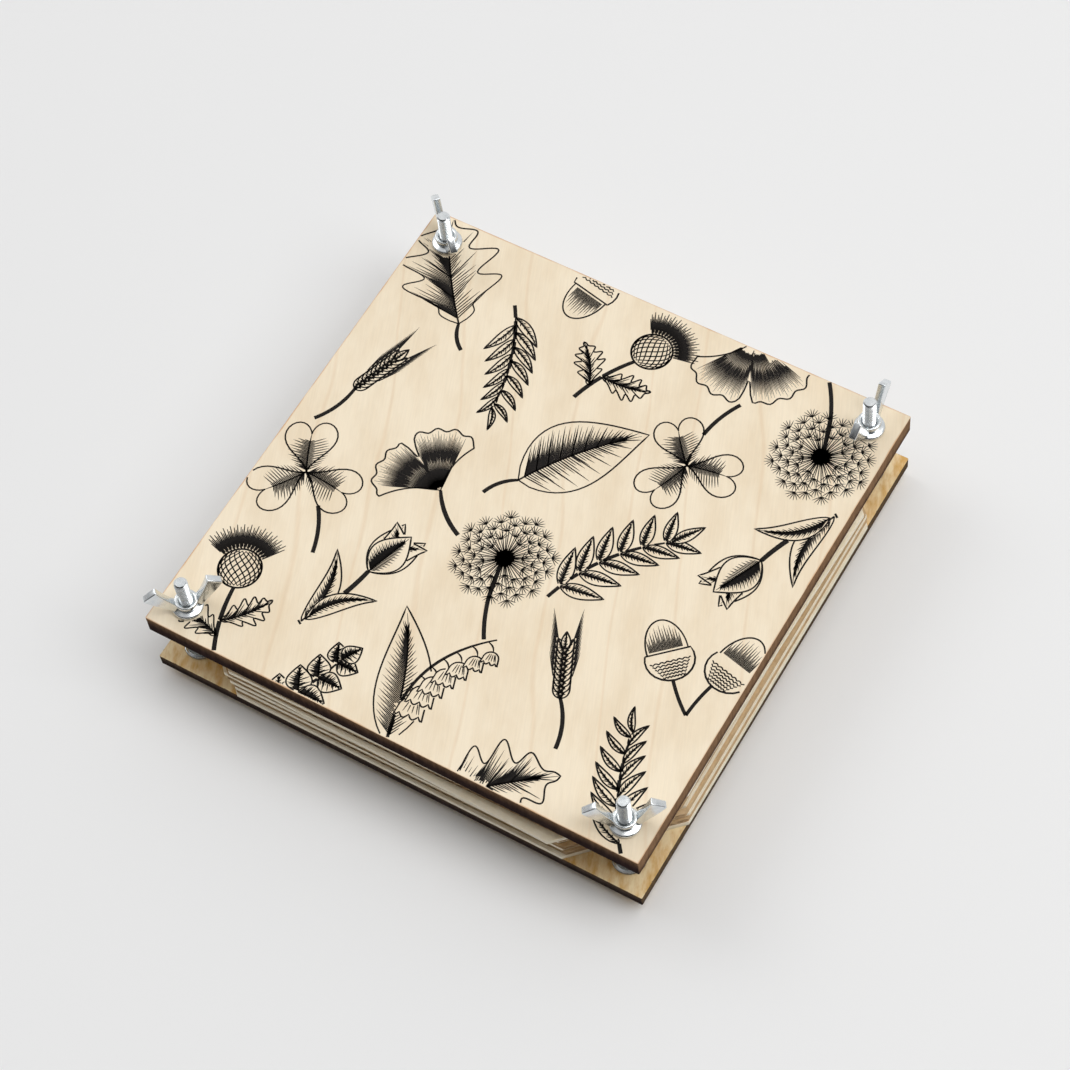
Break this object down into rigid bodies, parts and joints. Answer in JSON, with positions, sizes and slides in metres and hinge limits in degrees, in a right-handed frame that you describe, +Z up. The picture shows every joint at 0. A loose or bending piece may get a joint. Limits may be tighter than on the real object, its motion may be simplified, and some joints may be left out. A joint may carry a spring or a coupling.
{
  "type": "flower press",
  "caption": "Square plywood flower press: wing nuts on corner bolts draw the top board down on a stack of corrugated card and blotting paper.",
  "frame": {"origin": "under the middle of the boards, on the plane that the four bolt heads stand on", "axes": "+Z up along the bolts, +X along the board's front edge from the left corner to the front corner, +Y along the next edge towards the back"},
  "size_m": [0.1573, 0.1591, 0.0428],
  "materials": {
    "plywood": "sanded, edges charred by laser",
    "zinc_plated_steel": "bright zinc",
    "corrugated_card": "matte kraft",
    "blotting_paper": "matte, absorbent"
  },
  "bodies": {
    "base": {"bottom_board": "plywood", "bolt_1": "zinc_plated_steel", "bolt_2": "zinc_plated_steel", "bolt_3": "zinc_plated_steel", "bolt_4": "zinc_plated_steel", "washers": "zinc_plated_steel", "flange_nut_1": "zinc_plated_steel", "flange_nut_2": "zinc_plated_steel", "flange_nut_3": "zinc_plated_steel", "flange_nut_4": "zinc_plated_steel", "card_1": "corrugated_card", "card_2": "corrugated_card", "card_3": "corrugated_card", "card_4": "corrugated_card", "card_5": "corrugated_card", "blotter_1": "blotting_paper", "blotter_2": "blotting_paper", "blotter_3": "blotting_paper", "blotter_4": "blotting_paper", "blotter_5": "blotting_paper", "blotter_6": "blotting_paper", "blotter_7": "blotting_paper", "blotter_8": "blotting_paper", "blotter_9": "blotting_paper", "blotter_10": "blotting_paper"},
    "press_top": {"top_board": "plywood"},
    "wing_nut_1": {"wing_nut_1": "zinc_plated_steel"},
    "wing_nut_2": {"wing_nut_2": "zinc_plated_steel"},
    "wing_nut_3": {"wing_nut_3": "zinc_plated_steel"},
    "wing_nut_4": {"wing_nut_4": "zinc_plated_steel"}
  },
  "joints": [
    {"name": "press_lift", "type": "slide", "parent": "base", "child": "press_top", "axis": [0, 0, 1], "range_m": [0, 0.0091]},
    {"name": "wing_nut_1_turn", "type": "hinge", "parent": "press_top", "child": "wing_nut_1", "pos_m": [-0.0689, -0.0689, 0.0296], "axis": [0, 0, 1], "range_deg": [0, 4680]},
    {"name": "wing_nut_2_turn", "type": "hinge", "parent": "press_top", "child": "wing_nut_2", "pos_m": [0.0689, -0.0689, 0.0296], "axis": [0, 0, 1], "range_deg": [0, 4680]},
    {"name": "wing_nut_3_turn", "type": "hinge", "parent": "press_top", "child": "wing_nut_3", "pos_m": [0.0689, 0.0689, 0.0296], "axis": [0, 0, 1], "range_deg": [0, 4680]},
    {"name": "wing_nut_4_turn", "type": "hinge", "parent": "press_top", "child": "wing_nut_4", "pos_m": [-0.0689, 0.0689, 0.0296], "axis": [0, 0, 1], "range_deg": [0, 4680]}
  ],
  "couplings": [
    {"joint": "wing_nut_1_turn", "follows": "press_lift", "rad_per_m": 8976},
    {"joint": "wing_nut_2_turn", "follows": "press_lift", "rad_per_m": 8976},
    {"joint": "wing_nut_3_turn", "follows": "press_lift", "rad_per_m": 8976},
    {"joint": "wing_nut_4_turn", "follows": "press_lift", "rad_per_m": 8976}
  ]
}
